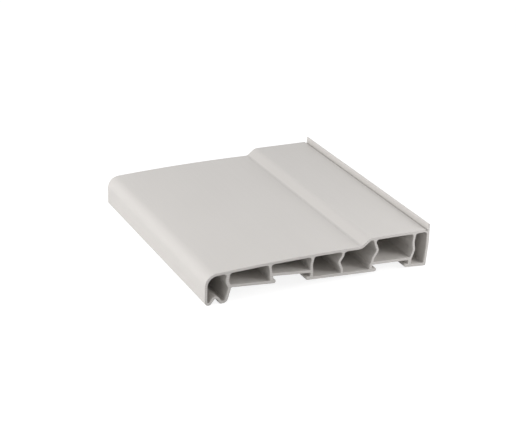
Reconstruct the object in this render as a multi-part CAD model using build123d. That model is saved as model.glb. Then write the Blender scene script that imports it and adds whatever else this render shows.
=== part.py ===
from build123d import *
import math
import os

# A hollow plastic window sill, extruded in one piece and cut to a sample length.
# The section is drawn as it is fitted: x runs back from the nose face, z is 0 on the level platform
# that carries the window, and a drop is a distance below that platform. An inset is a distance in
# front of the back face, so a deeper sill only gets a longer slope. All sizes are millimetres.
sill_depth = 150.0
sample_length = 172.0
skin_wall = 1.65
floor_wall = 1.75
web_wall = 1.5
nose_web_wall = 1.95
chamber_top_round = 1.8
chamber_foot_round = 0.65

# The top: a crowned slope from the nose to a step, and the platform behind the step.
slope_nose_drop = 7.6
slope_foot_drop = 4.65
slope_crown = 1.0
nose_round = 7.9
step_foot_inset = 47.2
step_head_inset = 41.5
step_foot_round = 2.8
step_foot_inner_round = 7.1
step_head_round = 5.5

# The back: an upstand with a sealant groove at its foot, and a wall that leans in below.
upstand_height = 3.45
upstand_wall = 1.0
upstand_round = 0.4
groove_width = 1.7
groove_depth = 1.2
back_bend_drop = 9.45
back_bend_round = 30.0
heel_inset = 1.35
heel_drop = 24.3
heel_round = 0.8

# The nose: a front lobe and a back lobe with the drip groove between them. The groove's back flank
# is bent, so that it ends steeply in the back lobe.
nose_drop = 27.0
front_lobe_width = 3.55
drip_peak_place = 6.65
drip_peak_height = 4.0
drip_width = 5.95
drip_bend_place = 8.6
drip_bend_height = 2.6
drip_flank_wall = 1.4
back_lobe_width = 4.65
back_lobe_lean = 16.0
front_lobe_round = 2.4
drip_front_round = 1.8
drip_peak_round = 0.75
drip_bend_round = 1.5
drip_back_round = 1.2
back_lobe_round = 3.2
nose_heel_round = 0.8

# The undersides of the front and middle chambered blocks: the drop at the front, the fall to the back.
front_block_drop = 17.55
front_block_fall = 1.85
middle_block_drop = 21.0
middle_block_fall = 1.6

# Two slots open downwards between the blocks. Each has a lip on both sides of its mouth. The back
# block's underside starts at the foot of the back slot's back wall and ends at the heel.
front_slot_place = 44.0
front_slot_width = 24.75
front_slot_front_lip = 1.65
front_slot_back_lip = 2.95
front_slot_drop = 14.65
front_slot_fall = 1.85
back_slot_inset = 13.95
back_slot_width = 25.25
back_slot_front_lip = 2.9
back_slot_back_lip = 2.4
back_slot_drop = 17.95
back_slot_fall = 0.8
back_slot_back_height = 4.6
back_slot_shoulder = 1.3
lip_wall = 2.1
lip_edge_round = 0.4
lip_heel_round = 1.0
lip_root_round = 0.5

# The webs between the chambers. A lean is how far a web's top, or one of its bends, lies behind its
# foot. Each bend is given as its lean and its share of the way down from the top. The way ends at
# the block's underside, or at a slot's ceiling for the webs that run on in the slot's side walls.
nose_web_inset = 0.75
nose_web_lean = -0.7
nose_web_bends = [(-1.95, 0.66)]
nose_web_round = 6.0
front_slot_web_lean = -1.6
front_slot_web_bends = [(-0.6, 0.63)]
middle_front_web_lean = 1.05
middle_front_web_bends = [(-0.45, 0.57), (0.0, 0.95)]
slot_web_round = 8.0
middle_web_place = 21.35
middle_web_lean = 1.1
middle_web_bends = [(0.3, 0.25), (-2.35, 0.47), (-0.1, 0.75)]
back_slot_web_lean = 2.3
back_slot_web_bends = [(2.65, 0.23), (4.55, 0.49), (1.7, 0.74), (0.55, 0.95)]
heel_web_lean = 3.1
heel_web_bends = [(2.0, 0.39), (2.75, 0.66), (0.55, 0.99)]
bent_web_round = 2.5

# How near an edge's end lies to a corner that it meets in, and the most that one round takes up of
# the shorter of the two sides that meet in its corner.
corner_reach = 0.01
side_share = 0.9

# A hollow's corner counts as pointed below this angle, and what the webs cut off as a hollow smaller
# than this area is filled.
widest_corner = 140.0
smallest_hollow = 2.0


def part_way(start, end, x):
    """The height at x on the straight line from start to end."""
    share = (x - start[0]) / (end[0] - start[0])
    return start[1] + share * (end[1] - start[1])


# Where the slots and the step stand.
step_foot = sill_depth - step_foot_inset
step_head = sill_depth - step_head_inset
front_slot_back_wall = front_slot_place + front_slot_width
back_slot_back_wall = sill_depth - back_slot_inset
back_slot_front_wall = back_slot_back_wall - back_slot_width

# Corners of the section that several shapes share.
nose_top = (0, -slope_nose_drop)
slope_foot = (step_foot, -slope_foot_drop)
slope_middle = (step_foot / 2, part_way(nose_top, slope_foot, step_foot / 2) + slope_crown)
platform_front = (step_head, 0)
platform_back = (sill_depth, 0)
back_bend = (sill_depth, -back_bend_drop)
heel = (sill_depth - heel_inset, -heel_drop)
back_slot_back = (back_slot_back_wall, -back_slot_drop - back_slot_fall)
back_block_front = (back_slot_back_wall, back_slot_back[1] - back_slot_back_height)
back_slot_front = (back_slot_front_wall, -back_slot_drop)
middle_block_back = (back_slot_front_wall, -middle_block_drop - middle_block_fall)
middle_block_front = (front_slot_back_wall, -middle_block_drop)
front_slot_back = (front_slot_back_wall, -front_slot_drop - front_slot_fall)
front_slot_front = (front_slot_place, -front_slot_drop)
front_block_back = (front_slot_place, -front_block_drop - front_block_fall)
back_lobe_back = (front_lobe_width + drip_width + back_lobe_width, -nose_drop)
nose_heel_shift = (nose_drop - front_block_drop) * math.tan(math.radians(back_lobe_lean))
nose_heel = (back_lobe_back[0] + nose_heel_shift, -front_block_drop)
drip_back = (front_lobe_width + drip_width, -nose_drop)
drip_bend = (drip_bend_place, drip_bend_height - nose_drop)
drip_peak = (drip_peak_place, drip_peak_height - nose_drop)
drip_front = (front_lobe_width, -nose_drop)
nose_bottom = (0, -nose_drop)


def sides_at(face, corner):
    """The face's two sides that meet in a corner, each as the way it leaves and its length."""
    sides = []
    for side in face.edges():
        if (side @ 0 - Vector(corner)).length < corner_reach:
            sides.append((side % 0, side.length))
        if (side @ 1 - Vector(corner)).length < corner_reach:
            sides.append((side % 1 * -1, side.length))
    return sides


def rounded(face, corners):
    """Rounds the face's corner nearest to each given point, as far as its two sides have room."""
    for point, radius in corners:
        corner = face.vertices().sort_by_distance((*point, 0))[0]
        (first, first_length), (second, second_length) = sides_at(face, corner)
        half_angle = math.radians(first.get_angle(second)) / 2
        room = side_share * min(first_length, second_length) * math.tan(half_angle)
        face = fillet(corner, min(radius, room))
    return face


# The outside, clockwise from the nose, with the wall behind the side that starts at each corner.
outline = [
    (nose_top, skin_wall),
    (slope_middle, skin_wall),
    (slope_foot, skin_wall),
    (platform_front, skin_wall),
    (platform_back, skin_wall),
    (back_bend, skin_wall),
    (heel, floor_wall),
    (back_block_front, floor_wall),
    (back_slot_back, floor_wall),
    (back_slot_front, floor_wall),
    (middle_block_back, floor_wall),
    (middle_block_front, floor_wall),
    (front_slot_back, floor_wall),
    (front_slot_front, floor_wall),
    (front_block_back, floor_wall),
    (nose_heel, skin_wall),
    (back_lobe_back, skin_wall),
    (drip_back, drip_flank_wall),
    (drip_bend, drip_flank_wall),
    (drip_peak, skin_wall),
    (drip_front, skin_wall),
    (nose_bottom, skin_wall),
]


def outlined(points):
    """A face with straight sides through the points, but an arc through the first three."""
    slope = ThreePointArc(*points[:3])
    return make_face([slope, *Polyline(*points[2:], points[0]).edges()])


def outside():
    """The outside of the section, without lips, upstand and groove."""
    return rounded(outlined([corner for corner, wall in outline]), [
        (nose_top, nose_round),
        (slope_foot, step_foot_round),
        (platform_front, step_head_round),
        (back_bend, back_bend_round),
        (heel, heel_round),
        (nose_heel, nose_heel_round),
        (back_lobe_back, back_lobe_round),
        (drip_back, drip_back_round),
        (drip_bend, drip_bend_round),
        (drip_peak, drip_peak_round),
        (drip_front, drip_front_round),
        (nose_bottom, front_lobe_round),
    ])


def inner_corner(corner):
    """An outside corner moved inwards by the walls of the two sides that meet in it."""
    right_turn = -90
    place = [point for point, wall in outline].index(corner)
    here = Vector(*corner)
    before = Vector(*outline[place - 1][0])
    after = Vector(*outline[(place + 1) % len(outline)][0])
    wall_before = outline[place - 1][1]
    wall_after = outline[place][1]
    inward_before = (here - before).normalized().rotate(Axis.Z, right_turn)
    inward_after = (after - here).normalized().rotate(Axis.Z, right_turn)
    likeness = inward_before.dot(inward_after)
    if wall_before == wall_after:
        moved = here + (inward_before + inward_after) * (wall_before / (1 + likeness))
    else:
        share_before = (wall_before - wall_after * likeness) / (1 - likeness ** 2)
        share_after = (wall_after - wall_before * likeness) / (1 - likeness ** 2)
        moved = here + inward_before * share_before + inward_after * share_after
    return (moved.X, moved.Y)


def inside():
    """The room inside the walls, before the webs part it."""
    room = rounded(outlined([inner_corner(corner) for corner, wall in outline]), [
        (inner_corner(nose_top), nose_round - skin_wall),
        (inner_corner(slope_foot), step_foot_inner_round),
        (inner_corner(drip_bend), drip_bend_round + drip_flank_wall),
        (inner_corner(drip_peak), drip_peak_round + skin_wall),
    ])
    shoulder = room.vertices().sort_by_distance((*inner_corner(back_slot_front), 0))[0]
    return chamfer(shoulder, back_slot_shoulder)


def top_height(x):
    """The height of the top at x."""
    if x > step_head:
        return 0
    if x > step_foot:
        return part_way(slope_foot, platform_front, x)
    share = x / step_foot
    return part_way(nose_top, slope_foot, x) + slope_crown * (1 - (2 * share - 1) ** 2)


def web(foot, end_height, lean, bends, wall, bend_round):
    """A bent web of even thickness from the top to its foot, with its bends above the end height."""
    top = (foot[0] + lean, top_height(foot[0] + lean))
    height = top[1] - end_height
    knees = [(foot[0] + bend_lean, top[1] - share * height) for bend_lean, share in bends]
    return trace(FilletPolyline(top, *knees, foot, radius=bend_round), wall)


def foot_at(block_front, block_back, x):
    """The point of a block's underside at x."""
    return (x, part_way(block_front, block_back, x))


def webs():
    """The six webs. Four of them run on flush in the side walls of the slots."""
    inset = floor_wall - web_wall / 2
    nose_foot = foot_at(nose_heel, front_block_back, nose_heel[0] - nose_web_inset)
    front_slot_foot = foot_at(nose_heel, front_block_back, front_slot_place - inset)
    middle_front_foot = foot_at(middle_block_front, middle_block_back, front_slot_back_wall + inset)
    middle_foot = foot_at(middle_block_front, middle_block_back, front_slot_back_wall + middle_web_place)
    back_slot_foot = foot_at(middle_block_front, middle_block_back, back_slot_front_wall - inset)
    heel_foot = foot_at(back_block_front, heel, back_slot_back_wall + inset)
    return [
        web(nose_foot, nose_foot[1], nose_web_lean, nose_web_bends, nose_web_wall, nose_web_round),
        web(front_slot_foot, front_slot_front[1], front_slot_web_lean, front_slot_web_bends, web_wall,
            slot_web_round),
        web(middle_front_foot, front_slot_back[1], middle_front_web_lean, middle_front_web_bends, web_wall,
            slot_web_round),
        web(middle_foot, middle_foot[1], middle_web_lean, middle_web_bends, web_wall, bent_web_round),
        web(back_slot_foot, back_slot_front[1], back_slot_web_lean, back_slot_web_bends, web_wall,
            bent_web_round),
        web(heel_foot, back_slot_back[1], heel_web_lean, heel_web_bends, web_wall, bent_web_round),
    ]


def is_pointed(face, corner):
    """Whether the face ends in a clear point at a corner, and doesn't bend round a wall there."""
    (first, _), (second, _) = sides_at(face, corner)
    if first.get_angle(second) > widest_corner:
        return False
    return face.is_inside(Vector(corner) + (first + second).normalized() * corner_reach)


def chambers():
    """The seven hollows, with rounder corners at their tops than at their floors."""
    rounded_hollows = []
    for face in (inside() - webs()).faces():
        if face.area < smallest_hollow:
            continue
        middle = face.center().Y
        rounded_hollows.append(rounded(make_face(face.outer_wire().edges()), [
            ((corner.X, corner.Y), chamber_top_round if corner.Y > middle else chamber_foot_round)
            for corner in face.outer_wire().vertices() if is_pointed(face, corner)
        ]))
    return rounded_hollows


def lip(block_front, block_back, root, tip):
    """A lip that runs on from a block's underside, from root to tip along x."""
    low_root = (root, part_way(block_front, block_back, root))
    low_tip = (tip, part_way(block_front, block_back, tip))
    return make_face(Polyline(
        low_root, low_tip, (tip, low_tip[1] + lip_wall), (root, low_root[1] + lip_wall), close=True,
    ).edges())


def lips():
    """The four lips at the mouths of the two slots, with the corners that are rounded on them."""
    places = [
        (nose_heel, front_block_back, front_slot_place, front_slot_front_lip),
        (middle_block_front, middle_block_back, front_slot_back_wall, -front_slot_back_lip),
        (middle_block_front, middle_block_back, back_slot_front_wall, back_slot_front_lip),
        (back_block_front, heel, back_slot_back_wall, -back_slot_back_lip),
    ]
    shapes = []
    corners = []
    for block_front, block_back, root, reach in places:
        tip = root + reach
        shapes.append(lip(block_front, block_back, root, tip))
        tip_height = part_way(block_front, block_back, tip)
        root_height = part_way(block_front, block_back, root)
        corners.append(((tip, tip_height + lip_wall), lip_edge_round))
        corners.append(((tip, tip_height), lip_heel_round))
        corners.append(((root, root_height + lip_wall), lip_root_round))
    return shapes, corners


def groove(middle):
    """The sealant groove, open to the top and round at its floor."""
    wall_height = groove_depth - groove_width / 2
    walls = Pos(middle, 0) * Rectangle(groove_width, 2 * wall_height)
    return walls + Pos(middle, -wall_height) * Circle(groove_width / 2)


def section():
    """The whole section: the body, its lips and upstand, less the sealant groove and the chambers."""
    lip_shapes, lip_corners = lips()
    upstand_front = sill_depth - upstand_wall
    upstand = make_face(Polyline(
        (upstand_front, -skin_wall), (sill_depth, -skin_wall),
        (sill_depth, upstand_height), (upstand_front, upstand_height), close=True,
    ).edges())
    upstand_corners = [(upstand_front, upstand_height), (sill_depth, upstand_height)]
    corners = lip_corners + [(corner, upstand_round) for corner in upstand_corners]
    filled = rounded((outside() + lip_shapes + upstand).face(), corners)
    return filled - groove(upstand_front - groove_width / 2) - chambers()


def round_centre(corner, before, after, radius):
    """The centre of the arc that rounds a corner between two straight edges."""
    to_before = (Vector(*before) - Vector(*corner)).normalized()
    to_after = (Vector(*after) - Vector(*corner)).normalized()
    half_angle = math.radians(to_before.get_angle(to_after)) / 2
    return Vector(*corner) + (to_before + to_after).normalized() * (radius / math.sin(half_angle))


def rest_tilt():
    """How far the section turns back, in degrees, when the sill lies on its nose lobes and its heel."""
    heel_centre = round_centre(heel, back_bend, back_block_front, heel_round)
    lobes = [
        (round_centre(drip_front, drip_peak, nose_bottom, drip_front_round), drip_front_round),
        (round_centre(back_lobe_back, nose_heel, drip_back, back_lobe_round), back_lobe_round),
    ]
    tilts = []
    for centre, radius in lobes:
        span = heel_centre - centre
        rise = math.atan2(span.Y, span.X)
        tilts.append(rise - math.asin((heel_round - radius) / span.length))
    return math.degrees(max(tilts))


def lying_sill():
    """The cut sample as it lies on a level floor, centred over the origin."""
    sill = extrude(Plane.XZ * section(), -sample_length)
    tilted = Rot(0, rest_tilt(), 0) * sill
    box = tilted.bounding_box()
    return Pos(-box.center().X, -box.center().Y, -box.min.Z) * tilted


os.makedirs("parts", exist_ok=True)
export_step(lying_sill(), "parts/sill_profile.step")
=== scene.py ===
"""A cut sample of hollow plastic window sill on a pale floor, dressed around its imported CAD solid."""

import logging
import math
from collections.abc import Callable
from dataclasses import dataclass
from enum import Enum

import bpy
from mathutils import Euler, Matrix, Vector


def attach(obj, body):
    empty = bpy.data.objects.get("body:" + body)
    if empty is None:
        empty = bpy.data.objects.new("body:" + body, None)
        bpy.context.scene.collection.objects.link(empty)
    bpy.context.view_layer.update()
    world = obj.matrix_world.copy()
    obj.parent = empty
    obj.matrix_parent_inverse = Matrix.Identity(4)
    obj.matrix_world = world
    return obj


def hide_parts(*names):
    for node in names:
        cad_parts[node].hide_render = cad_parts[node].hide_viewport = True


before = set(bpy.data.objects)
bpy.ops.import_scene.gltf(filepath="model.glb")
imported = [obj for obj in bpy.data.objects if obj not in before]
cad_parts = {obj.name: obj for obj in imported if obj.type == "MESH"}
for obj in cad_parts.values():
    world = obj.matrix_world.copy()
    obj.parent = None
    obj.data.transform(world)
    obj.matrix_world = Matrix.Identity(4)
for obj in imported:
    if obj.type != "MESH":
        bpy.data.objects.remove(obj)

LOG = logging.getLogger("sill_scene")
MM = 0.001
CAD_NODE = "sill_profile"
Colour = tuple[float, float, float]
Place = tuple[float, float, float]
WHITE: Colour = (1.0, 1.0, 1.0)
ORIGIN: Place = (0.0, 0.0, 0.0)
NOISE_LOW = 0.3
NOISE_HIGH = 0.7


class Surface(Enum):
    """The kinds of surface that the dressed sill has, in the order of its material slots."""

    SKIN = 0
    SAWN = 1
    HOLLOW = 2
    GROOVE = 3
    FOOT = 4
    UPSTAND = 5


class Rays(Enum):
    """The rays to which the backdrop is plain white."""

    SEEN = "Is Camera Ray"
    MIRRORED = "Is Glossy Ray"
    THROUGH = "Is Transmission Ray"


def opaque(colour: Colour) -> tuple[float, float, float, float]:
    """The colour with full opacity."""
    return (*colour, 1.0)


def deselect_everything() -> None:
    """Leaves no object selected and none active."""
    bpy.ops.object.select_all(action="DESELECT")
    bpy.context.view_layer.objects.active = None


def make_active(piece: bpy.types.Object) -> None:
    """Selects one object alone and makes it the active one.

    Args:
        piece: The object that the next operators act on.
    """
    deselect_everything()
    piece.select_set(True)
    bpy.context.view_layer.objects.active = piece


@dataclass(frozen=True)
class Grain:
    """A noise pattern: its cells per metre, its octaves of finer noise, and their strength."""

    scale: float
    octaves: float
    strength: float


class NodeBoard:
    """A material's or world's node tree, with short ways to add nodes and wire them."""

    def __init__(self, tree: bpy.types.NodeTree) -> None:
        """Empties the tree.

        Args:
            tree: The node tree to build in.
        """
        self.tree = tree
        tree.nodes.clear()

    def add(self, kind: str, **settings: object) -> bpy.types.Node:
        """Adds a node.

        Args:
            kind: The node's type name.
            **settings: Properties of the node to set.

        Returns:
            The new node.
        """
        node = self.tree.nodes.new(kind)
        for name, value in settings.items():
            setattr(node, name, value)
        return node

    def wire(self, start: bpy.types.NodeSocket, end: bpy.types.NodeSocket) -> None:
        """Links an output socket to an input socket."""
        self.tree.links.new(start, end)

    def stretched(self, along: float = 1.0) -> bpy.types.NodeSocket:
        """Object coordinates, for patterns that are drawn out along the sill.

        Args:
            along: The factor along the sill. A small one draws a pattern out into lines.

        Returns:
            The stretched coordinates.
        """
        place = self.add("ShaderNodeTexCoord")
        mapping = self.add("ShaderNodeMapping")
        mapping.inputs["Scale"].default_value = (1.0, along, 1.0)
        self.wire(place.outputs["Object"], mapping.inputs["Vector"])
        return mapping.outputs["Vector"]

    def noise(self, coordinates: bpy.types.NodeSocket, grain: Grain) -> bpy.types.NodeSocket:
        """A noise pattern.

        Args:
            coordinates: Where the pattern is read.
            grain: How coarse and how rough the pattern is.

        Returns:
            The pattern's value.
        """
        texture = self.add("ShaderNodeTexNoise")
        texture.inputs["Scale"].default_value = grain.scale
        texture.inputs["Detail"].default_value = grain.octaves
        texture.inputs["Roughness"].default_value = grain.strength
        self.wire(coordinates, texture.inputs["Vector"])
        return texture.outputs["Fac"]

    def spread(self, value: bpy.types.NodeSocket, low: float, high: float) -> bpy.types.NodeSocket:
        """Spreads the values that a noise pattern mostly has over a range.

        Args:
            value: The pattern.
            low: The range's low end.
            high: The range's high end.

        Returns:
            The spread value.
        """
        ranged = self.add("ShaderNodeMapRange")
        ranged.inputs["From Min"].default_value = NOISE_LOW
        ranged.inputs["From Max"].default_value = NOISE_HIGH
        ranged.inputs["To Min"].default_value = low
        ranged.inputs["To Max"].default_value = high
        self.wire(value, ranged.inputs["Value"])
        return ranged.outputs["Result"]

    def toned(self, value: bpy.types.NodeSocket, dark: Colour, light: Colour) -> bpy.types.NodeSocket:
        """Mixes two colours by a pattern.

        Args:
            value: The pattern, from 0 to 1.
            dark: The colour at 0.
            light: The colour at 1.

        Returns:
            The mixed colour.
        """
        mix = self.add("ShaderNodeMix", data_type="RGBA")
        colours = [socket for socket in mix.inputs if socket.type == "RGBA"]
        colours[0].default_value = opaque(dark)
        colours[1].default_value = opaque(light)
        self.wire(value, mix.inputs["Factor"])
        return next(socket for socket in mix.outputs if socket.type == "RGBA")

    def bumped(self, height: bpy.types.NodeSocket, depth: float,
               before: bpy.types.NodeSocket | None = None) -> bpy.types.NodeSocket:
        """A normal bumped by a height pattern.

        Args:
            height: The pattern.
            depth: The relief of a full step of the pattern, in metres.
            before: The normal of a coarser relief, if there is one.

        Returns:
            The bumped normal.
        """
        bump = self.add("ShaderNodeBump")
        bump.inputs["Strength"].default_value = 1.0
        bump.inputs["Distance"].default_value = depth
        self.wire(height, bump.inputs["Height"])
        if before is not None:
            self.wire(before, bump.inputs["Normal"])
        return bump.outputs["Normal"]

    def plastic(self, tone: bpy.types.NodeSocket, roughness: bpy.types.NodeSocket,
                normal: bpy.types.NodeSocket, reflectance: float) -> None:
        """Adds a plastic shader and shows it.

        Args:
            tone: The colour.
            roughness: How dull the surface is.
            normal: The bumped normal.
            reflectance: How much the surface reflects, where 0.5 is an ordinary plastic.
        """
        shader = self.add("ShaderNodeBsdfPrincipled")
        shader.inputs["Specular IOR Level"].default_value = reflectance
        self.wire(tone, shader.inputs["Base Color"])
        self.wire(roughness, shader.inputs["Roughness"])
        self.wire(normal, shader.inputs["Normal"])
        self.show(shader.outputs["BSDF"], "ShaderNodeOutputMaterial")

    def matt(self, tone: Colour) -> bpy.types.NodeSocket:
        """Adds a matt shader.

        Args:
            tone: The colour.

        Returns:
            The shader.
        """
        matt = self.add("ShaderNodeBsdfDiffuse")
        matt.inputs["Color"].default_value = opaque(tone)
        return matt.outputs["BSDF"]

    def glowing(self, kind: str, strength: float) -> bpy.types.NodeSocket:
        """Adds a white glow.

        Args:
            kind: The node's type name: an emission, or a background in a world.
            strength: The glow's strength, where 1 is seen as white.

        Returns:
            The shader.
        """
        glow = self.add(kind)
        glow.inputs["Color"].default_value = opaque(WHITE)
        glow.inputs["Strength"].default_value = strength
        return glow.outputs[0]

    def summed(self, one: bpy.types.NodeSocket, other: bpy.types.NodeSocket) -> bpy.types.NodeSocket:
        """Adds up two shaders."""
        both = self.add("ShaderNodeAddShader")
        self.wire(one, both.inputs[0])
        self.wire(other, both.inputs[1])
        return both.outputs["Shader"]

    def mixed(self, share: bpy.types.NodeSocket, first: bpy.types.NodeSocket,
              second: bpy.types.NodeSocket) -> bpy.types.NodeSocket:
        """Mixes two shaders.

        Args:
            share: The share of the second shader.
            first: The shader at a share of 0.
            second: The shader at a share of 1.

        Returns:
            The mixed shader.
        """
        mix = self.add("ShaderNodeMixShader")
        self.wire(share, mix.inputs["Fac"])
        self.wire(first, mix.inputs[1])
        self.wire(second, mix.inputs[2])
        return mix.outputs["Shader"]

    def share_of(self, *kinds: Rays) -> bpy.types.NodeSocket:
        """Tells some kinds of rays from all others.

        Args:
            *kinds: The kinds of rays.

        Returns:
            1 for those rays and 0 for all others.
        """
        path = self.add("ShaderNodeLightPath")
        total = path.outputs[kinds[0].value]
        for kind in kinds[1:]:
            added = self.add("ShaderNodeMath", operation="ADD", use_clamp=True)
            self.wire(total, added.inputs[0])
            self.wire(path.outputs[kind.value], added.inputs[1])
            total = added.outputs["Value"]
        return total

    def show(self, shader: bpy.types.NodeSocket, output_kind: str) -> None:
        """Wires a shader to a new output node of the given kind."""
        self.wire(shader, self.add(output_kind).inputs["Surface"])


def material_board(name: str) -> tuple[bpy.types.Material, NodeBoard]:
    """Makes a material.

    Args:
        name: The material's name.

    Returns:
        The material, and the board for its emptied node tree.
    """
    made = bpy.data.materials.new(name)
    made.use_nodes = True
    return made, NodeBoard(made.node_tree)


@dataclass(frozen=True)
class ExtrudedFinish:
    """Satin plastic as it leaves the die: faint lines along the sill and a very fine orange peel."""

    name: str = "extruded_satin"
    dark: Colour = (0.640, 0.615, 0.590)
    light: Colour = (0.665, 0.640, 0.615)
    roughness: tuple[float, float] = (0.36, 0.46)
    reflectance: float = 0.45
    lines: Grain = Grain(700.0, 3.0, 0.6)
    line_stretch: float = 0.012
    line_depth: float = 0.016 * MM
    peel: Grain = Grain(900.0, 1.0, 0.5)
    peel_depth: float = 0.004 * MM
    clouds: Grain = Grain(22.0, 2.0, 0.5)
    cloud_stretch: float = 0.35

    def material(self) -> bpy.types.Material:
        """Makes the finish.

        Returns:
            The material.
        """
        made, board = material_board(self.name)
        lines = board.noise(board.stretched(self.line_stretch), self.lines)
        peel = board.noise(board.stretched(), self.peel)
        clouds = board.noise(board.stretched(self.cloud_stretch), self.clouds)
        tone = board.toned(board.spread(clouds, 0.0, 1.0), self.dark, self.light)
        relief = board.bumped(peel, self.peel_depth, board.bumped(lines, self.line_depth))
        board.plastic(tone, board.spread(lines, *self.roughness), relief, self.reflectance)
        return made


@dataclass(frozen=True)
class SawnFinish:
    """A cut end: duller than the skin, with the arcs that a circular saw leaves. Its colours are darker
    than the skin's, as painted shade for the dimmer light on the cut ends.
    """

    name: str = "sawn_end"
    # darker than the skin: painted shade for the dimmer light on the cut ends; the arcs are the saw's
    # own marks
    dark: Colour = (0.533, 0.510, 0.489)
    light: Colour = (0.592, 0.571, 0.548)
    roughness: tuple[float, float] = (0.50, 0.66)
    reflectance: float = 0.4
    blade_centre: Place = (-0.060, 0.0, -0.190)
    arc_scale: float = 230.0
    arc_wander: float = 1.6
    arc_octaves: float = 3.0
    arc_octave_scale: float = 0.4
    arc_depth: float = 0.010 * MM
    grain: Grain = Grain(2200.0, 2.0, 0.6)
    grain_depth: float = 0.006 * MM

    def material(self) -> bpy.types.Material:
        """Makes the finish.

        Returns:
            The material.
        """
        made, board = material_board(self.name)
        arcs = self._saw_arcs(board)
        grain = board.noise(board.stretched(), self.grain)
        tone = board.toned(arcs, self.dark, self.light)
        relief = board.bumped(grain, self.grain_depth, board.bumped(arcs, self.arc_depth))
        board.plastic(tone, board.spread(grain, *self.roughness), relief, self.reflectance)
        return made

    def _saw_arcs(self, board: NodeBoard) -> bpy.types.NodeSocket:
        """The arcs round the place where the saw's shaft passed.

        Args:
            board: The material's board.

        Returns:
            The pattern's value, from 0 to 1.
        """
        place = board.add("ShaderNodeTexCoord")
        centred = board.add("ShaderNodeMapping")
        centred.inputs["Location"].default_value = [-c for c in self.blade_centre]
        board.wire(place.outputs["Object"], centred.inputs["Vector"])
        arcs = board.add("ShaderNodeTexWave", wave_type="RINGS", rings_direction="Y")
        arcs.inputs["Scale"].default_value = self.arc_scale
        arcs.inputs["Distortion"].default_value = self.arc_wander
        arcs.inputs["Detail"].default_value = self.arc_octaves
        arcs.inputs["Detail Scale"].default_value = self.arc_octave_scale
        board.wire(centred.outputs["Vector"], arcs.inputs["Vector"])
        return arcs.outputs["Fac"]


@dataclass(frozen=True)
class HollowFinish:
    """The walls of the hollows, which cool free of the die: duller, with broader lines. Their colours
    are darker than the skin's, as painted shade deep in the hollows.
    """

    name: str = "hollow_wall"
    # darker than the skin: painted shade inside the hollows
    dark: Colour = (0.580, 0.556, 0.530)
    light: Colour = (0.620, 0.596, 0.570)
    roughness: tuple[float, float] = (0.46, 0.60)
    reflectance: float = 0.4
    lines: Grain = Grain(420.0, 2.0, 0.5)
    line_stretch: float = 0.03
    line_depth: float = 0.012 * MM

    def material(self) -> bpy.types.Material:
        """Makes the finish.

        Returns:
            The material.
        """
        made, board = material_board(self.name)
        lines = board.noise(board.stretched(self.line_stretch), self.lines)
        tone = board.toned(board.spread(lines, 0.0, 1.0), self.dark, self.light)
        relief = board.bumped(lines, self.line_depth)
        board.plastic(tone, board.spread(lines, *self.roughness), relief, self.reflectance)
        return made


@dataclass(frozen=True)
class PaintedLightStrip:
    """A strip along the skin whose tone is painted shade or painted light. Its ranges are in metres, in
    the sill's frame.
    """

    surface: Surface
    along_x: tuple[float, float]
    along_z: tuple[float, float]
    finish: ExtrudedFinish

    def holds(self, centre: Vector) -> bool:
        """Whether a face with this centre is part of the strip.

        Args:
            centre: The middle of the face.

        Returns:
            True for a face within both ranges.
        """
        return (self.along_x[0] < centre.x < self.along_x[1]
                and self.along_z[0] < centre.z < self.along_z[1])


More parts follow.
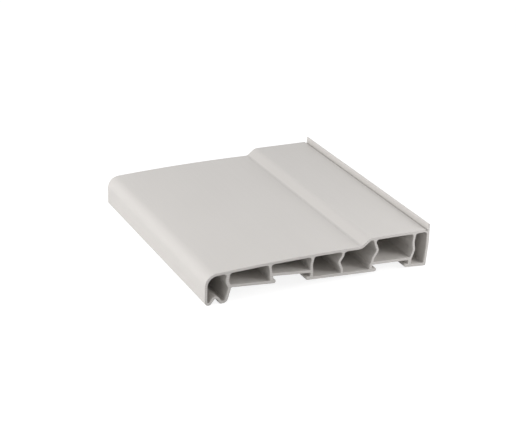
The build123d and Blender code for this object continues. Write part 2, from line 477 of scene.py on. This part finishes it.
@dataclass
class SawnSill:
    """The cut sample: the CAD solid's shape with its cut ends' edges broken, and its finishes.

    A slant is the part of a face's normal that points
    along the sill: an end has more than end_slant, and a wall less than wall_slant. The groove at
    the upstand and the foot of the step are toned darker as painted shade, and the upstand's front is
    toned lighter as painted light.
    """

    name: str = "sill_sample"
    arris: float = 0.12 * MM
    weld: float = 0.002 * MM
    end_reach: float = 0.05 * MM
    end_slant: float = 0.99
    wall_slant: float = 0.3
    flat_within: float = 1.0
    smooth_up_to: float = 32.0
    area_weight: int = 60
    skin: ExtrudedFinish = ExtrudedFinish()
    sawn: SawnFinish = SawnFinish()
    hollow: HollowFinish = HollowFinish()
    strips: tuple[PaintedLightStrip, ...] = (
        # painted shade: darker along the groove at the upstand's foot, where the crease lies in shade
        PaintedLightStrip(Surface.GROOVE, (72.3 * MM, 74.4 * MM), (22.8 * MM, 24.2 * MM),
                  ExtrudedFinish("groove_painted_shade", dark=(0.500, 0.481, 0.462), light=(0.530, 0.511, 0.492),
                                 roughness=(0.50, 0.62))),
        # painted shade: darker at the concave foot of the step, where the step shades it
        PaintedLightStrip(Surface.FOOT, (27.0 * MM, 28.8 * MM), (19.8 * MM, 21.8 * MM),
                  ExtrudedFinish("step_foot_painted_shade", dark=(0.605, 0.583, 0.560), light=(0.630, 0.608, 0.585),
                                 roughness=(0.46, 0.56))),
        # painted light: lighter on the upstand's front face, which gets more light from the left
        PaintedLightStrip(Surface.UPSTAND, (74.19 * MM, 74.35 * MM), (25.0 * MM, 27.5 * MM),
                  ExtrudedFinish("upstand_painted_light", dark=(0.703, 0.677, 0.650),
                                 light=(0.731, 0.705, 0.677))),
    )

    def build(self) -> bpy.types.Object:
        """Makes the dressed sample in the CAD node's place.

        Returns:
            The finished piece.
        """
        piece = self._copied()
        self._welded(piece)
        self._arrises_broken(piece)
        self._shaded(piece)
        self._dressed(piece)
        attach(piece, "root")
        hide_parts(CAD_NODE)
        LOG.info("%s: %d faces, riding on root", piece.name, len(piece.data.polygons))
        return piece

    def _copied(self) -> bpy.types.Object:
        """Copies the CAD node's mesh into a piece of its own.

        Returns:
            The copy, at the origin.
        """
        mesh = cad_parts[CAD_NODE].data.copy()
        mesh.name = self.name
        mesh.materials.clear()
        piece = bpy.data.objects.new(self.name, mesh)
        bpy.context.scene.collection.objects.link(piece)
        return piece

    def _welded(self, piece: bpy.types.Object) -> None:
        """Merges the loose triangles and joins those of each flat wall into one face.

        Args:
            piece: The sample.
        """
        make_active(piece)
        bpy.ops.mesh.customdata_custom_splitnormals_clear()
        bpy.ops.object.mode_set(mode="EDIT")
        bpy.ops.mesh.select_mode(type="VERT")
        bpy.ops.mesh.select_all(action="SELECT")
        bpy.ops.mesh.remove_doubles(threshold=self.weld)
        bpy.ops.mesh.normals_make_consistent(inside=False)
        bpy.ops.object.mode_set(mode="OBJECT")
        self._select_faces(piece, lambda polygon: not self._is_end(polygon))
        flat = math.radians(self.flat_within)
        bpy.ops.object.mode_set(mode="EDIT")
        bpy.ops.mesh.tris_convert_to_quads(face_threshold=flat, shape_threshold=flat)
        bpy.ops.object.mode_set(mode="OBJECT")

    def _is_end(self, polygon: bpy.types.MeshPolygon) -> bool:
        """Whether a face lies in a cut end."""
        return abs(polygon.normal.y) > self.end_slant

    def _is_wall(self, polygon: bpy.types.MeshPolygon) -> bool:
        """Whether a face runs along the sill."""
        return abs(polygon.normal.y) < self.wall_slant

    def _select_faces(self, piece: bpy.types.Object,
                      wanted: Callable[[bpy.types.MeshPolygon], bool]) -> None:
        """Selects some of the faces and nothing else.

        Args:
            piece: The sample, in object mode.
            wanted: The test that a selected face passes.
        """
        make_active(piece)
        bpy.ops.object.mode_set(mode="EDIT")
        bpy.ops.mesh.select_mode(type="FACE")
        bpy.ops.mesh.select_all(action="DESELECT")
        bpy.ops.object.mode_set(mode="OBJECT")
        for polygon in piece.data.polygons:
            polygon.select = wanted(polygon)

    def _arrises_broken(self, piece: bpy.types.Object) -> None:
        """Insets both cut ends a little and draws the rim back, which leaves a fine arris all round.

        Args:
            piece: The sample.
        """
        low = min(vertex.co.y for vertex in piece.data.vertices)
        high = max(vertex.co.y for vertex in piece.data.vertices)
        for end, inward in ((low, self.arris), (high, -self.arris)):
            self._select_faces(piece, lambda polygon: self._is_end(polygon)
                               and abs(polygon.center.y - end) < self.end_reach)
            bpy.ops.object.mode_set(mode="EDIT")
            bpy.ops.mesh.inset(thickness=self.arris, depth=0.0, use_even_offset=True, use_boundary=True)
            bpy.ops.object.mode_set(mode="OBJECT")
            inner = [polygon for polygon in piece.data.polygons if polygon.select]
            kept = {index for polygon in inner for index in polygon.vertices}
            for vertex in piece.data.vertices:
                if vertex.index not in kept and abs(vertex.co.y - end) < self.end_reach:
                    vertex.co.y += inward
        piece.data.update()

    def _shaded(self, piece: bpy.types.Object) -> None:
        """Shades the rounds smooth, and keeps the flats flat by weighing normals by area.

        Args:
            piece: The sample.
        """
        make_active(piece)
        bpy.ops.object.shade_smooth_by_angle(angle=math.radians(self.smooth_up_to))
        weighted = piece.modifiers.new("weighted", "WEIGHTED_NORMAL")
        weighted.keep_sharp = True
        weighted.weight = self.area_weight
        bpy.ops.object.modifier_apply(modifier=weighted.name)

    def _wall_groups(self, piece: bpy.types.Object) -> list[set[int]]:
        """The walls between the ends, in groups that hang together.

        Args:
            piece: The sample.

        Returns:
            Sets of face numbers, one for the outside and one for each hollow.
        """
        edge_faces: dict[tuple[int, int], list[int]] = {}
        for polygon in piece.data.polygons:
            if self._is_wall(polygon):
                for key in polygon.edge_keys:
                    edge_faces.setdefault(key, []).append(polygon.index)
        neighbours: dict[int, set[int]] = {}
        for faces in edge_faces.values():
            for face in faces:
                neighbours.setdefault(face, set()).update(faces)
        groups = []
        left = set(neighbours)
        while left:
            group = set()
            edge = [left.pop()]
            while edge:
                face = edge.pop()
                group.add(face)
                fresh = neighbours[face] & left
                left -= fresh
                edge.extend(fresh)
            groups.append(group)
        return groups

    def _outer_surface(self, centre: Vector) -> Surface:
        """The kind of surface of a face on the outside.

        Args:
            centre: The middle of the face.

        Returns:
            The strip's kind for a face in a strip, and plain skin for all others.
        """
        for strip in self.strips:
            if strip.holds(centre):
                return strip.surface
        return Surface.SKIN

    def _dressed(self, piece: bpy.types.Object) -> None:
        """Gives the skin, the cut ends, the hollows and the strips their finishes.

        Args:
            piece: The sample.
        """
        mesh = piece.data
        for finish in (self.skin, self.sawn, self.hollow, *(strip.finish for strip in self.strips)):
            mesh.materials.append(finish.material())
        groups = self._wall_groups(piece)

        def width(group: set[int]) -> float:
            """How far a group of walls reaches from front to back."""
            places = [mesh.polygons[face].center.x for face in group]
            return max(places) - min(places)

        outside = max(groups, key=width)
        for polygon in mesh.polygons:
            if polygon.index in outside:
                polygon.material_index = self._outer_surface(polygon.center).value
            elif self._is_wall(polygon):
                polygon.material_index = Surface.HOLLOW.value
            else:
                polygon.material_index = Surface.SAWN.value
        LOG.info("%s: %d groups of walls", piece.name, len(groups))


@dataclass(frozen=True)
class Softbox:
    """A square lamp that looks at the sill. Sizes are in metres and the power in watts.

    A lamp near the sill isn't mirrored in its skin, so that no side of it is burnt out.
    """

    name: str
    place: Place
    side: float
    power: float
    mirrored: bool = True

    def build(self) -> bpy.types.Object:
        """Makes the lamp.

        Returns:
            The lamp's object.
        """
        light = bpy.data.lights.new(self.name, "AREA")
        light.shape = "SQUARE"
        light.size = self.side
        light.energy = self.power
        lamp = bpy.data.objects.new(self.name, light)
        bpy.context.scene.collection.objects.link(lamp)
        lamp.location = self.place
        look = Vector(ORIGIN) - Vector(self.place)
        lamp.rotation_euler = look.to_track_quat("-Z", "Y").to_euler()
        lamp.visible_camera = False
        lamp.visible_glossy = self.mirrored
        LOG.info("lamp %s: %.1f W", self.name, self.power)
        return lamp


@dataclass
class Studio:
    """A pale floor under soft light, with a backdrop that the camera sees as plain white."""

    floor_side: float = 6.0
    floor_tone: Colour = (0.80, 0.80, 0.80)
    floor_glow: float = 0.86
    floor_share: float = 0.30
    sky: float = 0.497
    backdrop: float = 1.0
    lamps: tuple[Softbox, ...] = (
        Softbox("left_key", (-1.178, 0.0, 0.549), 0.8, 4.5),
        Softbox("left_near", (-0.383, 0.0, 0.321), 0.3, 0.78, mirrored=False),
        Softbox("heel_near", (0.25, -0.24, 0.13), 0.14, 0.43, mirrored=False),
    )

    def build(self) -> None:
        """Makes the floor, the sky and the lamps."""
        self._floor()
        self._sky()
        for lamp in self.lamps:
            lamp.build()

    def _floor(self) -> None:
        """Makes the floor: white where it is seen, but for the soft shadow of the sill."""
        deselect_everything()
        bpy.ops.mesh.primitive_plane_add(size=self.floor_side, location=ORIGIN)
        floor = bpy.context.object
        floor.name = "floor"
        made, board = material_board("pale_floor")
        seen = board.summed(board.matt((self.floor_share,) * 3),
                            board.glowing("ShaderNodeEmission", self.floor_glow))
        mixed = board.mixed(board.share_of(Rays.SEEN), board.matt(self.floor_tone), seen)
        board.show(mixed, "ShaderNodeOutputMaterial")
        floor.data.materials.append(made)
        LOG.info("floor: %.1f m square", self.floor_side)

    def _sky(self) -> None:
        """Makes the world: white where it is seen or mirrored, softer as light."""
        world = bpy.data.worlds.new("studio")
        bpy.context.scene.world = world
        world.use_nodes = True
        board = NodeBoard(world.node_tree)
        mixed = board.mixed(board.share_of(Rays.SEEN, Rays.MIRRORED, Rays.THROUGH),
                            board.glowing("ShaderNodeBackground", self.sky),
                            board.glowing("ShaderNodeBackground", self.backdrop))
        board.show(mixed, "ShaderNodeOutputWorld")


@dataclass(frozen=True)
class PhotoCamera:
    """The camera at the photograph's viewing angle. Places and the clipped range are in metres,
    the turn is in degrees, and the sensor and the lens are in millimetres."""

    place: Place = (-0.387846, -0.848889, 0.403116)
    turn: Place = (67.0176, -0.4407, -24.2383)
    sensor: float = 36.0
    lens: float = 108.837
    nearest: float = 0.01
    farthest: float = 20.0

    def build(self) -> bpy.types.Object:
        """Makes the camera and looks through it.

        Returns:
            The camera's object.
        """
        data = bpy.data.cameras.new("photo_camera")
        data.sensor_width = self.sensor
        data.lens = self.lens
        data.clip_start = self.nearest
        data.clip_end = self.farthest
        camera = bpy.data.objects.new("photo_camera", data)
        bpy.context.scene.collection.objects.link(camera)
        camera.location = self.place
        camera.rotation_euler = Euler([math.radians(angle) for angle in self.turn], "XYZ")
        bpy.context.scene.camera = camera
        return camera


def main() -> None:
    """Builds the sample, the studio and the camera."""
    logging.basicConfig(level=logging.INFO, format="%(name)s %(message)s")
    bpy.context.scene.view_settings.view_transform = "Standard"
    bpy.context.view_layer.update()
    SawnSill().build()
    Studio().build()
    PhotoCamera().build()


if __name__ == "__main__":
    main()
